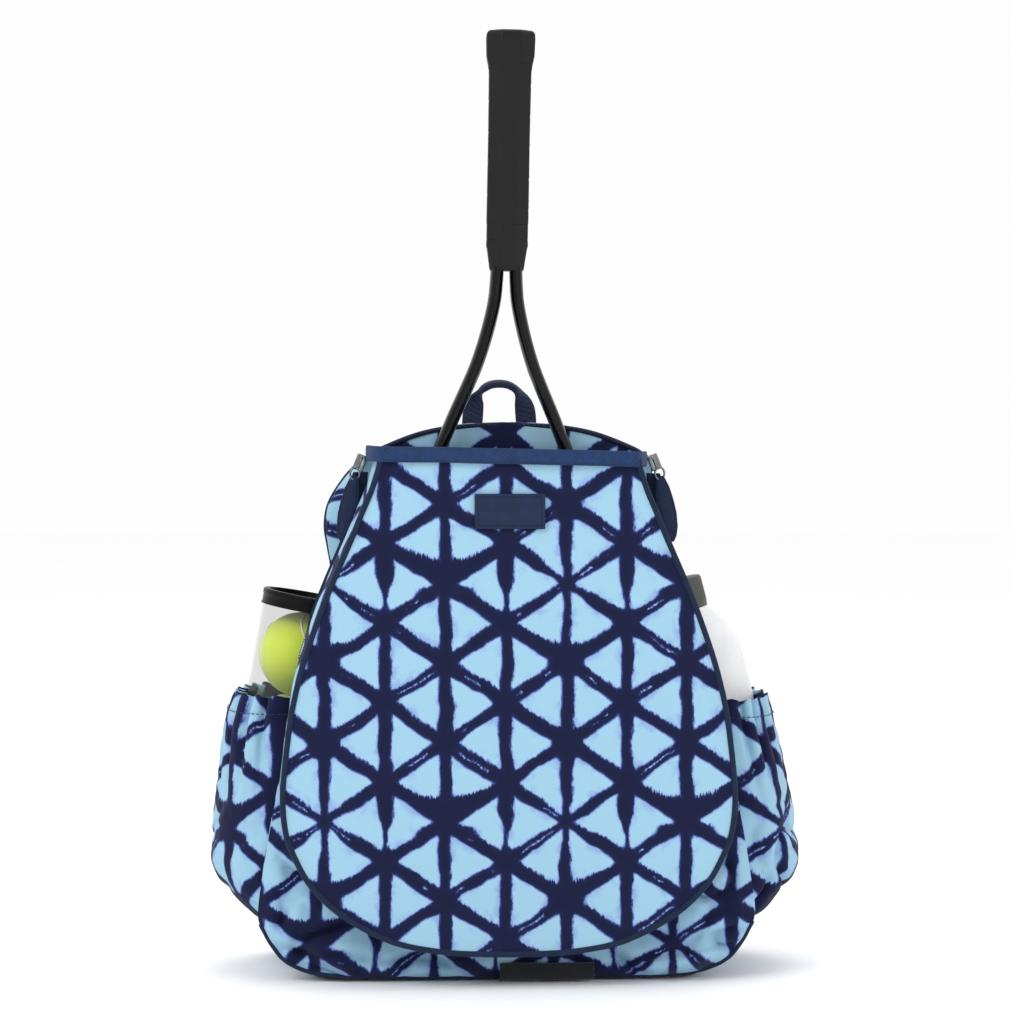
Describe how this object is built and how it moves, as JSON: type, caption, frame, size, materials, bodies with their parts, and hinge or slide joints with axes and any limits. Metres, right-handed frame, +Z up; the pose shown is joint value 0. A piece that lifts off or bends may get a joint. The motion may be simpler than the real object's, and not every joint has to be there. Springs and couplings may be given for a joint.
{
  "type": "racket backpack",
  "caption": "Printed canvas backpack with a racket in its front pocket, a ball can and a bottle in side pockets, and a hinged top flap.",
  "frame": {"origin": "on the flat base that the bag stands on, at the middle of its width, 0.082 m in front of the inner face of the back", "axes": "+Z up, -Y to the front where the racket pocket is, +X to the right seen from the front"},
  "size_m": [0.463, 0.2322, 0.7243],
  "materials": {
    "printed_canvas": "matt printed cotton canvas, light blue with navy folded-dye triangles",
    "navy_webbing": "matt woven webbing",
    "navy_binding": "matt twill tape",
    "navy_leather": "smooth grained, semi-matt",
    "black_fabric": "matt woven nylon",
    "zip_metal": "dark plated, slightly worn",
    "black_plastic": "semi-matt moulded",
    "frame_paint": "glossy black lacquer over composite",
    "grip_rubber": "matt black wrapped grip",
    "string": "natural nylon",
    "clear_plastic": "clear, glossy",
    "felt": "fuzzy felt",
    "bottle_white": "satin white",
    "cap_grey": "matt olive grey"
  },
  "bodies": {
    "bag": {"front_wall": "printed_canvas", "back_panel": "black_fabric", "base_panel": "black_fabric", "side_gusset_left": "printed_canvas", "side_gusset_right": "printed_canvas", "dome_piping": "navy_binding", "side_pocket_left": "printed_canvas", "side_pocket_right": "printed_canvas", "side_pocket_floor_left": "printed_canvas", "side_pocket_floor_right": "printed_canvas", "pocket_hem_left": "printed_canvas", "pocket_hem_right": "printed_canvas", "haul_loop": "navy_webbing", "back_pad": "black_fabric", "shoulder_strap_left": "black_fabric", "shoulder_strap_right": "black_fabric", "ladder_lock_left": "black_plastic", "ladder_lock_right": "black_plastic", "strap_webbing_left": "navy_webbing", "strap_webbing_right": "navy_webbing", "anchor_tab_left": "navy_webbing", "anchor_tab_right": "navy_webbing", "pocket_floor": "printed_canvas"},
    "flap": {"top_flap": "printed_canvas", "main_zip": "black_fabric", "main_zip_slider": "zip_metal", "main_zip_pull": "navy_leather"},
    "pocket_front": {"pocket_panel": "printed_canvas", "pocket_gusset_left": "printed_canvas", "pocket_gusset_right": "printed_canvas", "pocket_piping": "navy_binding", "pocket_band": "navy_binding", "label_patch": "navy_leather"},
    "slider_left": {"zip_slider_left": "zip_metal"},
    "slider_right": {"zip_slider_right": "zip_metal"},
    "pull_left": {"pull_ring_left": "zip_metal", "zip_pull_left": "navy_leather"},
    "pull_right": {"pull_ring_right": "zip_metal", "zip_pull_right": "navy_leather"},
    "racket": {"racket_frame": "frame_paint", "throat_bridge": "frame_paint", "string_bed": "string", "grip_collar": "grip_rubber", "finishing_tape": "black_plastic", "grip_wrap": "grip_rubber", "butt_cap": "black_plastic"},
    "ball_can": {"can_tube": "clear_plastic", "tennis_ball_1": "felt", "tennis_ball_2": "felt", "tennis_ball_3": "felt"},
    "can_lid": {"can_lid": "black_plastic"},
    "bottle": {"bottle_body": "bottle_white"},
    "bottle_cap": {"bottle_cap": "cap_grey"}
  },
  "joints": [
    {"name": "flap_open", "type": "hinge", "parent": "bag", "child": "flap", "pos_m": [0, 0.0835, 0.432], "axis": [-1, 0, 0], "range_deg": [0, 95]},
    {"name": "pocket_open", "type": "hinge", "parent": "bag", "child": "pocket_front", "pos_m": [0, -0.094, 0.0285], "axis": [1, 0, 0], "range_deg": [0, 50]},
    {"name": "slider_left_run", "type": "slide", "parent": "bag", "child": "slider_left", "axis": [-0.3658, 0, -0.9307], "range_m": [0, 0.11]},
    {"name": "slider_right_run", "type": "slide", "parent": "bag", "child": "slider_right", "axis": [0.3658, 0, -0.9307], "range_m": [0, 0.11]},
    {"name": "pull_left_swing", "type": "hinge", "parent": "slider_left", "child": "pull_left", "pos_m": [-0.116, -0.059, 0.3875], "axis": [0, 1, 0], "range_deg": [0, 70]},
    {"name": "pull_right_swing", "type": "hinge", "parent": "slider_right", "child": "pull_right", "pos_m": [0.116, -0.059, 0.3875], "axis": [0, -1, 0], "range_deg": [0, 70]},
    {"name": "racket_slide", "type": "slide", "parent": "bag", "child": "racket", "axis": [0.0183, 0, 0.9998], "range_m": [0, 0.04]},
    {"name": "can_slide", "type": "slide", "parent": "bag", "child": "ball_can", "axis": [0.1822, 0, 0.9833], "range_m": [0, 0.1]},
    {"name": "lid_slide", "type": "slide", "parent": "ball_can", "child": "can_lid", "axis": [0.1822, 0, 0.9833], "range_m": [0, 0.013]},
    {"name": "bottle_slide", "type": "slide", "parent": "bag", "child": "bottle", "axis": [-0.2504, 0, 0.9681], "range_m": [0, 0.1]},
    {"name": "cap_turn", "type": "hinge", "parent": "bottle", "child": "bottle_cap", "pos_m": [0.14345, 0.025, 0.27785], "axis": [-0.2504, 0, 0.9681], "range_deg": [0, 360]}
  ]
}
